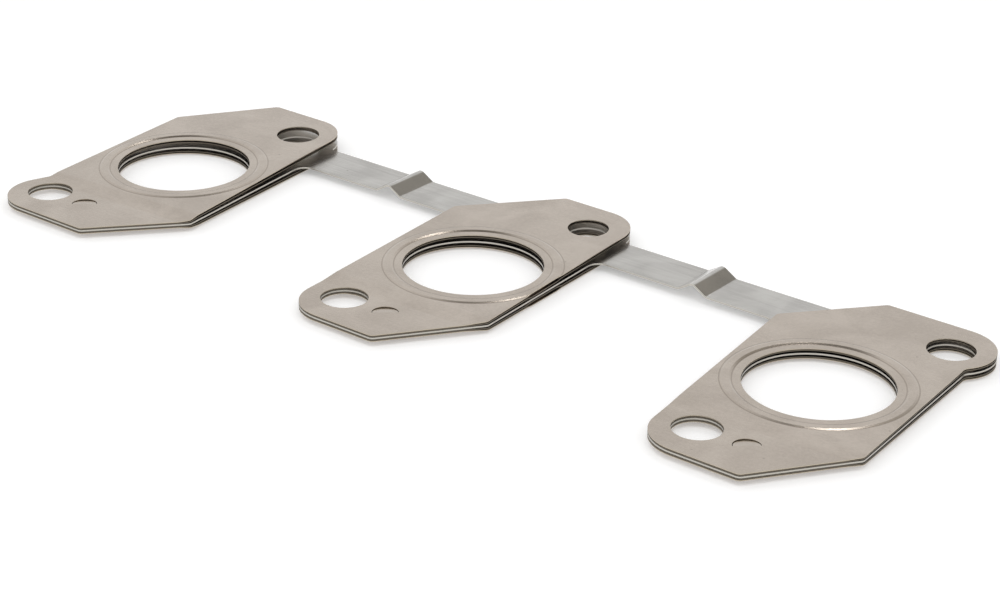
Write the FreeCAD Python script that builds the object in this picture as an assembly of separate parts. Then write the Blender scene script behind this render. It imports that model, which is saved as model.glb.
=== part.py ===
import FreeCAD, Part

import math
import os

from FreeCAD import Vector

# Exhaust manifold gasket for a row of three ports, made of layered sheet steel.
# One thick carrier plate runs the whole length: three port flanges joined by two strips.
# On each flange it carries two thin embossed plates above and two below.
# X runs along the row of ports, Y across it and Z up through the layers.
# The origin is on the middle port's axis, in the middle plane of the carrier plate.

# Driving dimensions of the row, in millimetres and degrees
port_pitch = 90.0
port_dia = 32.0
stud_hole_dia = 10.6
locating_hole_dia = 9.6

# Driving dimensions of the outlines, each half flange given with its bolt on the far side
plain_bolt = Vector(8.7, 32.0, 0)
plain_shoulder = Vector(24.0, -22.6, 0)
plain_end_reach = 7.9
notched_bolt = Vector(13.6, 31.4, 0)
notched_shoulder = Vector(23.0, -21.4, 0)
notched_end_reach = 7.6
locating_bolt = Vector(8.4, 32.6, 0)
locating_shoulder = Vector(20.4, -20.8, 0)
locating_end_reach = 5.8
inner_bolt = Vector(11.2, 31.2, 0)
inner_shoulder = Vector(23.5, -22.8, 0)
inner_end_reach = 5.5
lobe_radius = 10.0
lobe_shift = Vector(-0.8, 0.8, 0)
corner_radius = 1.5
notch_start = 25.4
notch_radius = 2.0

# Driving dimensions of the sheets
carrier_thickness = 0.4
sheet_thickness = 0.2

# Driving dimensions of the beads pressed round each port
lip_width = 1.9
bead_slope_width = 0.6
bead_crest_width = 1.4
outer_bead_height = 0.25
inner_bead_height = 0.25
outer_bead_step = 0.08
inner_bead_step = 0.0

# Driving dimensions of how the loose layers lie: clearances, tilts and the bend beside the tab
bead_seat_gap = 0.02
lip_gap = 0.08
pinned_gap = 0.1
left_upper_slack = 0.22
left_upper_tilts = (1.1, 1.4)
left_lower_slack = 0.15
left_lower_tilts = (0.5, 0.6)
middle_upper_slack = 0.1
middle_upper_tilts = (0.8, 1.0)
middle_lower_slack = 0.1
middle_lower_tilts = (0.5, 0.6)
right_upper_slack = 0.0
right_upper_tilts = (0.4, 0.5)
right_lower_slack = 0.0
right_lower_tilts = (0.35, 0.45)
tilt_heading = -86.0
bend_start = 21.2
bend_end = 26.2
bend_radius = 8.0

# Driving dimensions of the tab that pins the layers of a flange together
tab_radius = 2.8
tab_slit = 0.15
tab_drop = 0.3
tab_root = 0.5
tab_along = 11.6
tab_chord_angle = 42.0

# Driving dimensions of the strips and of the hump folded into each
strip_width = 12.6
shoulder_cover = 0.6
strip_fillet = 3.0
strip_lobe_fillet = 1.0
strip_root = 2.0
hump_height = 2.0
hump_slope = 31.0
hump_crest_radius = 1.4
hump_foot_radius = 1.2
left_hump_offset = 1.7
right_hump_offset = -0.7

# Blanks and cutters reach past the finished outline, so that the outline trims them
flange_reach = notched_bolt.Length + lobe_radius
blank_reach = 1.25 * flange_reach
trim_height = flange_reach / 3

# Places and heights worked out from the driving dimensions
origin = Vector(0, 0, 0)
up = Vector(0, 0, 1)
port_radius = port_dia / 2
bead_start = port_radius + lip_width
crest_start = bead_start + bead_slope_width
crest_end = crest_start + bead_crest_width
bead_end = crest_end + bead_slope_width
strip_near_side = -plain_shoulder.y - shoulder_cover
strip_far_side = strip_near_side + strip_width
carrier_face = carrier_thickness / 2
inner_pinned = carrier_face + pinned_gap
outer_pinned = inner_pinned + sheet_thickness + pinned_gap

# Half a flange: bolt hole centre, shoulder, reach of the end corner, and whether it is notched
plain_half = (plain_bolt, plain_shoulder, plain_end_reach, False)
notched_half = (notched_bolt, notched_shoulder, notched_end_reach, True)
locating_half = (locating_bolt, locating_shoulder, locating_end_reach, False)
inner_half = (inner_bolt, inner_shoulder, inner_end_reach, False)


def rounded_path(points, radii):
    """Edges along a row of points, with an arc of the given radius at each inner point."""
    edges = []
    start = points[0]
    for before, corner, after, radius in zip(points, points[1:], points[2:], radii):
        back = (before - corner).normalize()
        onward = (after - corner).normalize()
        half_turn = back.getAngle(onward) / 2
        run = radius / math.tan(half_turn)
        inward = (back + onward).normalize()
        middle = corner + inward * (radius / math.sin(half_turn) - radius)
        arc = Part.Arc(corner + back * run, middle, corner + onward * run)
        edges.append(Part.LineSegment(start, corner + back * run).toShape())
        edges.append(arc.toShape())
        start = corner + onward * run
    edges.append(Part.LineSegment(start, points[-1]).toShape())
    return edges


def round_upright_edges(solid, corners):
    """Fillet the upright edges that stand at the given places in plan."""
    for place, radius in corners:
        chosen = []
        for edge in solid.Edges:
            ends = [vertex.Point - place for vertex in edge.Vertexes]
            if len(ends) == 2 and all(math.hypot(end.x, end.y) < 0.01 for end in ends):
                chosen.append(edge)
        solid = solid.makeFillet(radius, chosen)
    return solid


def half_flange_corners(half):
    """Corners of a flange's far half, each with its radius, from one shoulder to the next."""
    bolt, shoulder, end_reach, notched = half
    centre = bolt + lobe_shift
    end_edge = centre.y + lobe_radius
    if notched:
        drop = centre.y - notch_start
        notch = Vector(centre.x + math.sqrt(lobe_radius ** 2 - drop ** 2), notch_start, 0)
        lobe_top = centre + Vector(0, lobe_radius, 0)
        lobe_corners = [(notch, notch_radius), (centre, 0), (lobe_top, 0)]
    else:
        to_lobe = centre - shoulder
        heading = math.atan2(to_lobe.y, to_lobe.x) - math.asin(lobe_radius / to_lobe.Length)
        climb = end_edge - shoulder.y
        lobe_corner = shoulder + Vector(climb / math.tan(heading), climb, 0)
        lobe_corners = [(lobe_corner, lobe_radius)]
    end_corner = Vector(-end_reach, end_edge, 0)
    return [(shoulder, corner_radius)] + lobe_corners + [(end_corner, corner_radius)]


def flange_block(bottom, height, far_half, near_half, left_joined):
    """A flange's outline pulled up into a block, sharp at a shoulder that a strip will join."""
    corners = half_flange_corners(far_half)
    corners += [(-place, radius) for place, radius in half_flange_corners(near_half)]
    lift = Vector(0, 0, bottom)
    outline = [place + lift for place, radius in corners]
    block = Part.Face(Part.makePolygon(outline + outline[:1])).extrude(up * height)
    for half, side in ((far_half, 1), (near_half, -1)):
        bolt, shoulder, end_reach, notched = half
        if notched:
            lobe = Part.makeCylinder(lobe_radius, height, (bolt + lobe_shift) * side + lift)
            block = block.fuse(lobe).removeSplitter()
    left_shoulder = -near_half[1]
    rounded = []
    for place, radius in corners:
        joined = left_joined and place.isEqual(left_shoulder, 0.01)
        if radius > 0 and not joined:
            rounded.append((place, radius))
    return round_upright_edges(block, rounded)


def flange_holes(far_half, near_half, far_hole_dia):
    """The port and the two bolt holes of one flange, long enough to cut every layer."""
    lift = Vector(0, 0, -trim_height / 2)
    port = Part.makeCylinder(port_radius, trim_height, lift)
    far_hole = Part.makeCylinder(far_hole_dia / 2, trim_height, far_half[0] + lift)
    near_hole = Part.makeCylinder(stud_hole_dia / 2, trim_height, lift - near_half[0])
    return port.fuse([far_hole, near_hole])


def beaded_ring(bead_rise, bead_step):
    """The flat lip round the port and the bead pressed into the sheet beyond it."""
    lower = [
        Vector(port_radius - lip_width / 2, 0, 0),
        Vector(bead_start, 0, 0),
        Vector(crest_start, 0, bead_rise),
        Vector(crest_end, 0, bead_rise),
        Vector(bead_end, 0, bead_step),
    ]
    upper = [place + up * sheet_thickness for place in lower]
    outline = lower + upper[::-1] + lower[:1]
    return Part.Face(Part.makePolygon(outline)).revolve(origin, up, 360)


def sprung_sheet(lip, bead_rise, bead_step, tilt, pinned):
    """A beaded sheet that tilts open away from the tab and bends down to lie flat beside it."""
    hinge = Vector(0, 1, 0)
    tilting = FreeCAD.Rotation(hinge, tilt)
    seat = Vector(0, 0, lip)
    path = [
        seat + tilting.multVec(Vector(-blank_reach, 0, bead_step)),
        seat + tilting.multVec(Vector(bend_start, 0, bead_step)),
        Vector(bend_end, 0, pinned),
        Vector(blank_reach, 0, pinned),
    ]
    across = tilting.multVec(up * sheet_thickness)
    lower = rounded_path(path, [bend_radius] * 2)
    upper = [edge.translated(across) for edge in lower]
    first = Part.LineSegment(path[0], path[0] + across).toShape()
    last = Part.LineSegment(path[-1], path[-1] + across).toShape()
    section = Part.Face(Part.Wire(lower + [last] + upper[::-1] + [first]))
    border = section.extrude(hinge * 2 * blank_reach).translated(-hinge * blank_reach)
    room = Part.makeCylinder(bead_end, trim_height, -up * (trim_height / 2))
    room, ring = [
        shape.rotated(origin, hinge, tilt).translated(seat)
        for shape in (room, beaded_ring(bead_rise, bead_step))]
    sheet = border.cut(room).fuse(ring).removeSplitter()
    return sheet.rotated(origin, up, tilt_heading)


def half_disc(radius, height, bottom):
    """Half a disc on its chord, the chord along X and the round side towards Y."""
    disc = Part.makeCylinder(radius, height, Vector(0, 0, bottom))
    keep = Part.makeBox(2 * radius, radius, height, Vector(-radius, 0, bottom))
    return disc.common(keep)


def lance_tab(sheet, near_half, bottom, thickness):
    """Cut a half-round slit into a sheet and bend the tongue inside it down."""
    tab_place = Vector(tab_along, 0, 0) - near_half[0]
    slot = half_disc(tab_radius + tab_slit, trim_height, -trim_height / 2)
    profile = [
        Vector(0, -tab_root, bottom),
        Vector(0, 0, bottom),
        Vector(0, tab_radius, bottom - tab_drop),
        Vector(0, tab_radius, bottom - tab_drop + thickness),
        Vector(0, 0, bottom + thickness),
        Vector(0, -tab_root, bottom + thickness),
    ]
    section = Part.Face(Part.makePolygon(profile + profile[:1]))
    tongue = section.extrude(Vector(2 * tab_radius, 0, 0)).translated(Vector(-tab_radius, 0, 0))
    tongue = tongue.common(Part.makeCylinder(tab_radius, trim_height, -up * (trim_height / 2)))
    slot, tongue = [
        shape.rotated(origin, up, tab_chord_angle).translated(tab_place)
        for shape in (slot, tongue)]
    return sheet.cut(slot).fuse(tongue).removeSplitter()


def sprung_pair(slack, tilts):
    """The inner and the outer sheet above the carrier, untrimmed."""
    inner_tilt, outer_tilt = tilts
    inner_drop = math.sin(math.radians(inner_tilt))
    outer_drop = math.sin(math.radians(outer_tilt))
    inner_lip = carrier_face + bead_seat_gap + inner_bead_height + crest_end * inner_drop
    inner_lip += slack
    outer_lip = inner_lip + sheet_thickness + lip_gap + bead_start * (outer_drop - inner_drop)
    outer_lip += slack
    inner = sprung_sheet(
        inner_lip, -inner_bead_height, inner_bead_step, inner_tilt, inner_pinned)
    outer = sprung_sheet(
        outer_lip, outer_bead_height, outer_bead_step, outer_tilt, outer_pinned)
    return inner, outer


def sprung_sheets(upper, lower):
    """Untrimmed sheets of one flange: name, shape and height of the pinned underside."""
    upper_inner, upper_outer = sprung_pair(*upper)
    lower_inner, lower_outer = sprung_pair(*lower)
    return (
        ("top_plate", upper_outer, outer_pinned),
        ("upper_spring_plate", upper_inner, inner_pinned),
        ("lower_spring_plate", lower_inner.mirror(origin, up), -inner_pinned - sheet_thickness),
        ("bottom_plate", lower_outer.mirror(origin, up), -outer_pinned - sheet_thickness),
    )


def strip_side(start, end, crest, offset):
    """One face of a strip in section, as far from its middle line as the offset says."""
    slope = math.radians(hump_slope)
    peak = hump_height + hump_crest_radius * (1 / math.cos(slope) - 1)
    foot_run = peak / math.tan(slope) + offset * math.tan(slope / 2)
    points = [
        Vector(start, 0, offset),
        Vector(crest - foot_run, 0, offset),
        Vector(crest, 0, peak + offset / math.cos(slope)),
        Vector(crest + foot_run, 0, offset),
        Vector(end, 0, offset),
    ]
    foot_radius = hump_foot_radius - offset
    return rounded_path(points, [foot_radius, hump_crest_radius + offset, foot_radius])


def strip_with_hump(start, end, crest):
    """A flat strip along X with one rounded hump folded up across it."""
    lower = strip_side(start, end, crest, -carrier_face)
    upper = strip_side(start, end, crest, carrier_face)
    closing = []
    for x in (end, start):
        ends = (Vector(x, 0, -carrier_face), Vector(x, 0, carrier_face))
        closing.append(Part.LineSegment(*ends).toShape())
    wire = Part.Wire(lower + [closing[0]] + upper[::-1] + [closing[1]])
    strip = Part.Face(wire).extrude(Vector(0, strip_width, 0))
    return strip.translated(Vector(0, strip_near_side, 0))


def outline_sides(block, y):
    """The leftmost and the rightmost place of a flange's outline at one distance across the row."""
    reach = Vector(blank_reach, 0, 0)
    middle = Vector(block.BoundBox.Center.x, y, 0)
    across = Part.LineSegment(middle - reach, middle + reach).toShape()
    met = block.common(across).BoundBox
    return Vector(met.XMin, y, 0), Vector(met.XMax, y, 0)


def carrier_plate(blocks, holes):
    """The full-length plate: three flanges, and two strips between them."""
    plate = blocks[0].fuse(blocks[1:])
    corners = []
    crests = (left_hump_offset - port_pitch / 2, right_hump_offset + port_pitch / 2)
    for left, right, crest in zip(blocks, blocks[1:], crests):
        left_far = outline_sides(left, strip_far_side)[1]
        left_near = outline_sides(left, strip_near_side)[1]
        right_far = outline_sides(right, strip_far_side)[0]
        right_near = outline_sides(right, strip_near_side)[0]
        strip = strip_with_hump(left_far.x - strip_root, right_far.x + strip_root, crest)
        plate = plate.fuse(strip)
        corners.append((left_far, strip_lobe_fillet))
        corners += [(place, strip_fillet) for place in (left_near, right_far, right_near)]
    plate = round_upright_edges(plate.removeSplitter(), corners)
    for flange, hole_set in zip(flanges, holes):
        place = Vector(flange[1], 0, 0)
        plate = plate.cut(hole_set.translated(place)).translated(-place)
        plate = lance_tab(plate, flange[3], -carrier_face, carrier_thickness).translated(place)
    return plate


# Each flange: name, port place, far and near half, far hole, slack and tilts above and below
flanges = (
    ("left", -port_pitch, plain_half, notched_half, stud_hole_dia,
     (left_upper_slack, left_upper_tilts), (left_lower_slack, left_lower_tilts)),
    ("middle", 0.0, locating_half, inner_half, locating_hole_dia,
     (middle_upper_slack, middle_upper_tilts), (middle_lower_slack, middle_lower_tilts)),
    ("right", port_pitch, notched_half, plain_half, stud_hole_dia,
     (right_upper_slack, right_upper_tilts), (right_lower_slack, right_lower_tilts)),
)

os.makedirs("parts", exist_ok=True)
carrier_blocks = []
hole_sets = []
for side, place, far, near, far_dia, upper, lower in flanges:
    at_port = Vector(place, 0, 0)
    joined = side != "left"
    holes = flange_holes(far, near, far_dia)
    block = flange_block(-trim_height / 2, trim_height, far, near, False)
    thin_block = flange_block(-carrier_face, carrier_thickness, far, near, joined)
    carrier_blocks.append(thin_block.translated(at_port))
    hole_sets.append(holes)
    for name, sheet, bottom in sprung_sheets(upper, lower):
        trimmed = sheet.common(block).cut(holes)
        plate = lance_tab(trimmed, near, bottom, sheet_thickness)
        plate.translated(at_port).exportStep("parts/" + name + "_" + side + ".step")
carrier_plate(carrier_blocks, hole_sets).exportStep("parts/carrier_plate.step")
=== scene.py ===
import math

import bmesh
import bpy
from mathutils import Matrix, Vector


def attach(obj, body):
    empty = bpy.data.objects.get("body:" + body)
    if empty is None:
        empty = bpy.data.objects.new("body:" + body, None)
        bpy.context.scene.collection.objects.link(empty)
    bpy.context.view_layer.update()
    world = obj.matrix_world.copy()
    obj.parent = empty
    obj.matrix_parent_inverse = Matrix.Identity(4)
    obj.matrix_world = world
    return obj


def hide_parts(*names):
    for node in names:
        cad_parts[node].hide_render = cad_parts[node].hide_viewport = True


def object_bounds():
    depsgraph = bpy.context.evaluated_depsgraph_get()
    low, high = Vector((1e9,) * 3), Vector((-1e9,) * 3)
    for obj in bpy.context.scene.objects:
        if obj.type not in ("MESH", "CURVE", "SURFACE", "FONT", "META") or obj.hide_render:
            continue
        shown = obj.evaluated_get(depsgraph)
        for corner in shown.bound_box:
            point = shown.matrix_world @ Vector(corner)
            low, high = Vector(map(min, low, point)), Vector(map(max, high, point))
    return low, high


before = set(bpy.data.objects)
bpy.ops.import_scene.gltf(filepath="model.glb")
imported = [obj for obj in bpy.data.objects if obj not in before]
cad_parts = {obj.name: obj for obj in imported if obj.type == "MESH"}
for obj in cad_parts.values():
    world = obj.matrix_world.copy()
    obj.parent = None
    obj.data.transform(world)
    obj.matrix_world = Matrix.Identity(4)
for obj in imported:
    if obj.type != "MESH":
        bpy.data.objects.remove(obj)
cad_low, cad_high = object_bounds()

# Exhaust manifold gasket: layered sheet steel lying on a pale studio floor.
# The CAD sheets keep their shape. Each is dressed as one merged skin with the small radii that the
# press tools leave: round shoulders on the beads and the bend, and a dulled edge where it was cut.

MM = 0.001

# Radii left by the press tools, and the flats that draw each rounded edge
BEAD_RADIUS = 0.20 * MM
BEAD_STEPS = 3
CUT_EDGE_RADIUS = 0.03 * MM
CUT_EDGE_STEPS = 2

# The humps' folds run right across a strip, so their edges are at least this long. The CAD mesh
# gives each fold in a few flats, which are rounded into each other this far.
FOLD_LENGTH = 10 * MM
FOLD_ROUNDING = 0.6 * MM
FOLD_STEPS = 5

# Faces that meet at less than the first angle are one flat. Edges from the second angle to the
# third are pressed shoulders, and sharper ones are cut edges. Edges below the fourth are shaded
# smooth.
FLAT_ANGLE = math.radians(0.4)
PRESSED_ANGLE = math.radians(4)
CUT_ANGLE = math.radians(50)
SMOOTH_ANGLE = math.radians(40)

# Corners of the CAD mesh that lie closer than this are one point
MERGE_REACH = 0.0005 * MM

# The row of ports, the radii of the bead's inner and outer foot round each, and how wide, how
# brown and how strong the line of painted shade is at a foot, where the bead's crease lies in
# shade
PORT_PITCH = 90 * MM
BEAD_FEET = (17.9 * MM, 20.5 * MM)
FOOT_SHADE_WIDTH = 0.3 * MM
FOOT_SHADE_COLOUR = "8A7F72"
FOOT_SHADE_SHARE = 0.5

# What shows on rolled sheet. Real rolling lines are about 0.02 mm apart, too fine for the picture,
# so they are drawn a few tenths of a millimetre apart, and the grain of the surface likewise.
ROLLING_LINE = 0.35 * MM
ROLLING_RUN = 22 * MM
GRAIN = 0.7 * MM
SMUDGE = 14 * MM
SMUDGE_SHARE = 0.65
SPECK_SPACING = 6 * MM
SPECK_RADIUS = 0.3 * MM
SPECK_CORE = 0.12 * MM
SPECK_COLOUR = "7E756A"
SPECK_SHARE = 0.55

# The tone runs from light to dark over this part of the patterns' range
TONE_RANGE = (0.38, 0.62)

# The faces' roughness varies this much with the tone, and a sheared edge is this much rougher
ROUGHNESS_RANGE = 0.02
SHEARED_ROUGHNESS = 0.1

# How far a face's normal points up or down where it begins to count as a cut edge, and where it
# fully is one
EDGE_BEGINS = 0.8
EDGE_FULL = 0.5

# The studio: how wide the floor is in metres, and how strongly it and its surround glow
FLOOR_SIZE = 6
FLOOR_GLOW = 0.25
SURROUND_STRENGTH = 0.92


def pick_edges(mesh, low, high, shortest):
    """Select the edges of a length or more where two faces meet at an angle from low to high."""
    found = 0
    for face in mesh.faces:
        face.select = False
    for edge in mesh.edges:
        bent = len(edge.link_faces) == 2 and low < edge.calc_face_angle(0) < high
        edge.select = bent and edge.calc_length() >= shortest
        found += edge.select
    mesh.select_flush_mode()
    return found


def soften(piece, low, high, radius, steps, shortest=0.0):
    """Round the edges of the piece in edit mode that meet between two angles."""
    mesh = bmesh.from_edit_mesh(piece.data)
    mesh.select_mode = {"EDGE"}
    found = pick_edges(mesh, low, high, shortest)
    bmesh.update_edit_mesh(piece.data)
    if found:
        bpy.ops.mesh.bevel(
            offset=radius, offset_type="WIDTH", segments=steps, affect="EDGES",
            clamp_overlap=True, miter_outer="ARC")


def dressed_sheet(node, name):
    """One sheet as a merged skin over its CAD node, with its pressed and cut edges rounded."""
    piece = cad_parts[node].copy()
    piece.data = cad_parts[node].data.copy()
    piece.name = name
    piece.data.name = name
    piece.parent = None
    for key in list(piece.keys()):
        del piece[key]
    bpy.context.scene.collection.objects.link(piece)
    bpy.ops.object.select_all(action="DESELECT")
    piece.select_set(True)
    bpy.context.view_layer.objects.active = piece
    bpy.ops.object.mode_set(mode="EDIT")
    bpy.ops.mesh.select_all(action="SELECT")
    bpy.ops.mesh.remove_doubles(threshold=MERGE_REACH)
    bpy.ops.mesh.dissolve_limited(angle_limit=FLAT_ANGLE)
    if node == "carrier_plate":
        soften(piece, PRESSED_ANGLE, CUT_ANGLE, FOLD_ROUNDING, FOLD_STEPS, FOLD_LENGTH)
    else:
        soften(piece, PRESSED_ANGLE, CUT_ANGLE, BEAD_RADIUS, BEAD_STEPS)
    soften(piece, CUT_ANGLE, math.pi, CUT_EDGE_RADIUS, CUT_EDGE_STEPS)
    bpy.ops.object.mode_set(mode="OBJECT")
    bpy.ops.object.shade_smooth_by_angle(angle=SMOOTH_ANGLE)
    flats = piece.modifiers.new("true_flats", "WEIGHTED_NORMAL")
    flats.mode = "FACE_AREA_WITH_ANGLE"
    flats.keep_sharp = True
    bpy.ops.object.modifier_apply(modifier=flats.name)
    return piece


def linear(code):
    """An sRGB hex colour as linear red, green, blue and alpha."""
    channels = []
    for place in (0, 2, 4):
        share = int(code[place:place + 2], 16) / 255
        channels.append(share / 12.92 if share <= 0.04045 else ((share + 0.055) / 1.055) ** 2.4)
    return (*channels, 1.0)


def add(tree, kind, settings=None, **sockets):
    """A node with its settings, and with a value or another node's output on each socket.

    A socket goes by its name, with _ for a blank, or by its number, as n0, where names repeat.
    """
    node = tree.nodes.new(kind)
    for key, value in (settings or {}).items():
        setattr(node, key, value)
    for key, value in sockets.items():
        place = int(key[1:]) if key[0] == "n" and key[1:].isdigit() else key.replace("_", " ")
        socket = node.inputs[place]
        if isinstance(value, bpy.types.NodeSocket):
            tree.links.new(value, socket)
        else:
            socket.default_value = value
    return node


def new_material(name):
    """An empty node material and its tree."""
    material = bpy.data.materials.new(name)
    material.use_nodes = True
    tree = material.node_tree
    tree.nodes.clear()
    return material, tree


def painted_foot_shade(tree, place):
    """A node that is 1 on thin rings of painted shade at the bead's two feet round each port, and
    0 elsewhere.
    """
    parts = add(tree, "ShaderNodeSeparateXYZ", Vector=place)
    from_port = add(
        tree, "ShaderNodeMath", {"operation": "WRAP"},
        n0=parts.outputs["X"], n1=PORT_PITCH / 2, n2=-PORT_PITCH / 2)
    plan = add(
        tree, "ShaderNodeCombineXYZ", X=from_port.outputs[0], Y=parts.outputs["Y"])
    radius = add(tree, "ShaderNodeVectorMath", {"operation": "LENGTH"}, n0=plan.outputs[0])
    rings = []
    for foot in BEAD_FEET:
        ring = add(
            tree, "ShaderNodeMath", {"operation": "COMPARE"},
            n0=radius.outputs["Value"], n1=foot, n2=FOOT_SHADE_WIDTH / 2)
        rings.append(ring.outputs[0])
    return add(tree, "ShaderNodeMath", {"operation": "MAXIMUM"}, n0=rings[0], n1=rings[1])


def cold_rolled_steel(name, light, dark, edge, roughness, line_share, line_depth):
    """Stainless sheet as it leaves the cold rolls, then sheared and pressed.

    Its faces run from light to dark, its cut edges have the edge colour, line_share is how much of
    its grain is rolling lines, and line_depth is how deep the grain is.
    """
    material, tree = new_material(name)
    place = add(tree, "ShaderNodeTexCoord").outputs["Object"]

    # Rolling lines along the row, a fine grain across them and the smudges left by handling
    stretched = add(
        tree, "ShaderNodeMapping", Vector=place,
        Scale=(1 / ROLLING_RUN, 1 / ROLLING_LINE, 1 / ROLLING_LINE))
    lines = add(
        tree, "ShaderNodeTexNoise", Vector=stretched.outputs[0], Scale=1.0, Detail=2.0)
    grain = add(tree, "ShaderNodeTexNoise", Vector=place, Scale=1 / GRAIN, Detail=2.0)
    smudge = add(
        tree, "ShaderNodeTexNoise", Vector=place, Scale=1 / SMUDGE, Detail=3.0, Distortion=0.8)
    grained = add(
        tree, "ShaderNodeMix", Factor=line_share,
        n2=grain.outputs["Fac"], n3=lines.outputs["Fac"])
    mixed = add(
        tree, "ShaderNodeMix", Factor=SMUDGE_SHARE,
        n2=grained.outputs[0], n3=smudge.outputs["Fac"])
    tone = add(
        tree, "ShaderNodeMapRange", Value=mixed.outputs[0],
        From_Min=TONE_RANGE[0], From_Max=TONE_RANGE[1])
    rolled = add(
        tree, "ShaderNodeMix", {"data_type": "RGBA"},
        Factor=tone.outputs[0], n6=linear(light), n7=linear(dark))

    # Painted shade: darker thin rings at the bead's two feet, where its creases lie in shade
    rings = painted_foot_shade(tree, place)
    ring_share = add(
        tree, "ShaderNodeMath", {"operation": "MULTIPLY"},
        n0=rings.outputs[0], n1=FOOT_SHADE_SHARE)
    foot_shaded = add(
        tree, "ShaderNodeMix", {"data_type": "RGBA"},
        Factor=ring_share.outputs[0], n6=rolled.outputs[2], n7=linear(FOOT_SHADE_COLOUR))

    # A few small dark specks, which are dents and dust
    cells = add(tree, "ShaderNodeTexVoronoi", Vector=place, Scale=1 / SPECK_SPACING)
    speck = add(
        tree, "ShaderNodeMapRange", Value=cells.outputs["Distance"],
        From_Min=SPECK_RADIUS / SPECK_SPACING, From_Max=SPECK_CORE / SPECK_SPACING,
        To_Max=SPECK_SHARE)
    specked = add(
        tree, "ShaderNodeMix", {"data_type": "RGBA"},
        Factor=speck.outputs[0], n6=foot_shaded.outputs[2], n7=linear(SPECK_COLOUR))

    # Cut edges are sheared and torn, so they are a little rougher than the rolled faces, and they
    # take
    # the edge colour: the steel's own on the plates and the carrier, and painted shade on the
    # spring plates, whose edges lie recessed between the sheets
    normal = add(tree, "ShaderNodeNewGeometry").outputs["True Normal"]
    lift = add(tree, "ShaderNodeSeparateXYZ", Vector=normal)
    upright = add(
        tree, "ShaderNodeMath", {"operation": "ABSOLUTE"}, n0=lift.outputs["Z"])
    cut = add(
        tree, "ShaderNodeMapRange", Value=upright.outputs[0],
        From_Min=EDGE_BEGINS, From_Max=EDGE_FULL)
    coloured = add(
        tree, "ShaderNodeMix", {"data_type": "RGBA"},
        Factor=cut.outputs[0], n6=specked.outputs[2], n7=linear(edge))

    worn = add(
        tree, "ShaderNodeMapRange", Value=tone.outputs[0],
        To_Min=roughness - ROUGHNESS_RANGE, To_Max=roughness + ROUGHNESS_RANGE)
    dulled = add(
        tree, "ShaderNodeMix", Factor=cut.outputs[0],
        n2=worn.outputs[0], n3=roughness + SHEARED_ROUGHNESS)
    relief = add(
        tree, "ShaderNodeBump", Strength=1.0, Distance=line_depth, Height=grained.outputs[0])
    shader = add(
        tree, "ShaderNodeBsdfPrincipled", Metallic=1.0, Roughness=dulled.outputs[0],
        Base_Color=coloured.outputs[2], Normal=relief.outputs[0])
    add(tree, "ShaderNodeOutputMaterial", Surface=shader.outputs["BSDF"])
    return material


# Embossed plates: stainless sheet rolled to a warm satin with hardly any relief, so the plates
# look even and soft, and only the beads' shoulders glint
plate = cold_rolled_steel(
    "cold_rolled_stainless_satin", "C0B6AB", "B2A89D", "B9AE9D", 0.25, 0.3, 0.0001 * MM)

# Carrier plate: stainless strip rolled bright, so it is lighter and greyer than the plates, with
# clear lines along the row
strip = cold_rolled_steel(
    "cold_rolled_stainless_bright", "C4C2BE", "B0AEAA", "BCB8B0", 0.22, 0.85, 0.002 * MM)

# Spring plates: hard rolled stainless, darker and duller. Their cut edges are painted dark as the
# shade in the recess between the sheets, so each shows as a thin dark line between the carrier and
# the outer plate
spring = cold_rolled_steel(
    "hard_rolled_stainless_edge_shade", "ADA499", "9A9186", "71695E", 0.3, 0.4, 0.0004 * MM)

# Each CAD sheet, its dressed name and its steel
layers = [("carrier_plate", "carrier_sheet", "carrier_steel", strip)]
for side in ("left", "middle", "right"):
    layers += [
        ("top_plate_" + side, "top_sheet_" + side, "plate_steel", plate),
        ("upper_spring_plate_" + side, "upper_spring_sheet_" + side, "spring_steel", spring),
        ("lower_spring_plate_" + side, "lower_spring_sheet_" + side, "spring_steel", spring),
        ("bottom_plate_" + side, "bottom_sheet_" + side, "plate_steel", plate),
    ]
for node, name, slot, steel in layers:
    piece = dressed_sheet(node, name)
    piece.data.materials.clear()
    piece.data.materials.append(steel)
    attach(piece, "root")
    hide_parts(node)

# Studio: a plain pale floor in a white surround, which glows a little so that it stays white
bpy.ops.object.select_all(action="DESELECT")
bpy.ops.mesh.primitive_plane_add(size=FLOOR_SIZE, location=(0, 0, cad_low.z))
floor = bpy.context.object
floor.name = "studio_floor"
floor_paint, floor_tree = new_material("matt_white_floor")
floor_shader = add(
    floor_tree, "ShaderNodeBsdfPrincipled", Base_Color=linear("F4F4F4"), Roughness=0.9,
    Emission_Color=linear("FFFFFF"), Emission_Strength=FLOOR_GLOW)
add(floor_tree, "ShaderNodeOutputMaterial", Surface=floor_shader.outputs["BSDF"])
floor.data.materials.append(floor_paint)

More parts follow.
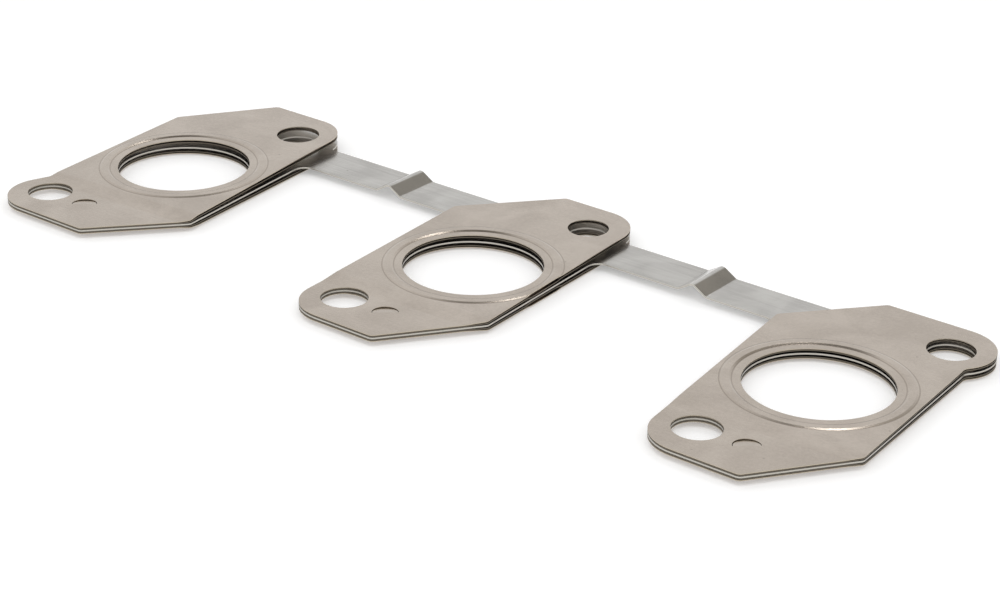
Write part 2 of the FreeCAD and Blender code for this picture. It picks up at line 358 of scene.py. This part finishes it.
# The white surround has two soft grey cards high behind the row, each with its direction, the
# angles in degrees of its core and rim, and its grey: the first draws the beads, and the second
# darkens the humps' slopes
grey_cards = (
    ((-0.12, 0.32, 0.94), 15, 25, "6E6964"),
    ((0.15, 0.74, 0.65), 7, 23, "ACA79F"),
)
world = bpy.data.worlds.new("studio_surround")
bpy.context.scene.world = world
world.use_nodes = True
around = world.node_tree
heading = add(around, "ShaderNodeTexCoord").outputs["Generated"]
background = around.nodes["Background"]
background.inputs["Strength"].default_value = SURROUND_STRENGTH
surround = add(around, "ShaderNodeRGB").outputs[0]
surround.default_value = linear("FFFFFF")
for card_heading, core, rim, grey in grey_cards:
    facing = add(
        around, "ShaderNodeVectorMath", {"operation": "DOT_PRODUCT"},
        n0=heading, n1=Vector(card_heading).normalized())
    card = add(
        around, "ShaderNodeMapRange", {"interpolation_type": "SMOOTHSTEP"},
        Value=facing.outputs["Value"], From_Min=math.cos(math.radians(rim)),
        From_Max=math.cos(math.radians(core)))
    surround = add(
        around, "ShaderNodeMix", {"data_type": "RGBA"},
        Factor=card.outputs[0], n6=surround, n7=linear(grey)).outputs[2]
around.links.new(surround, background.inputs["Color"])

bpy.context.scene.view_settings.view_transform = "Standard"


def softbox(name, place, size, power):
    """A square soft light at a place, aimed at the middle port."""
    data = bpy.data.lights.new(name, "AREA")
    data.size = size
    data.energy = power
    light = bpy.data.objects.new(name, data)
    bpy.context.scene.collection.objects.link(light)
    light.location = place
    light.rotation_euler = (-Vector(place)).to_track_quat("-Z", "Y").to_euler()


# A large faint light fills from the front, and a small strong one behind the row glints on the
# beads' shoulders
softbox("front_softbox", (0.28, -0.37, 1.16), 0.9, 1.7)
softbox("rear_softbox", (-0.30, 1.04, 1.68), 0.3, 1.8)

# Camera at the photograph's viewing angle, rolled a little as the photograph is. Its lens and
# sensor are in millimetres.
camera_place = Vector((0.3059, -0.3972, 0.2251))
camera_target = Vector((0.01079, -0.00401, -0.0016))
camera_roll = math.radians(1.63)
camera_data = bpy.data.cameras.new("camera")
camera_data.lens = 87.95
camera_data.sensor_width = 36
camera_data.clip_start = 0.01
camera = bpy.data.objects.new("camera", camera_data)
bpy.context.scene.collection.objects.link(camera)
aim = (camera_target - camera_place).to_track_quat("-Z", "Y").to_matrix().to_4x4()
camera.matrix_world = Matrix.Translation(camera_place) @ aim @ Matrix.Rotation(camera_roll, 4, "Z")
bpy.context.scene.camera = camera
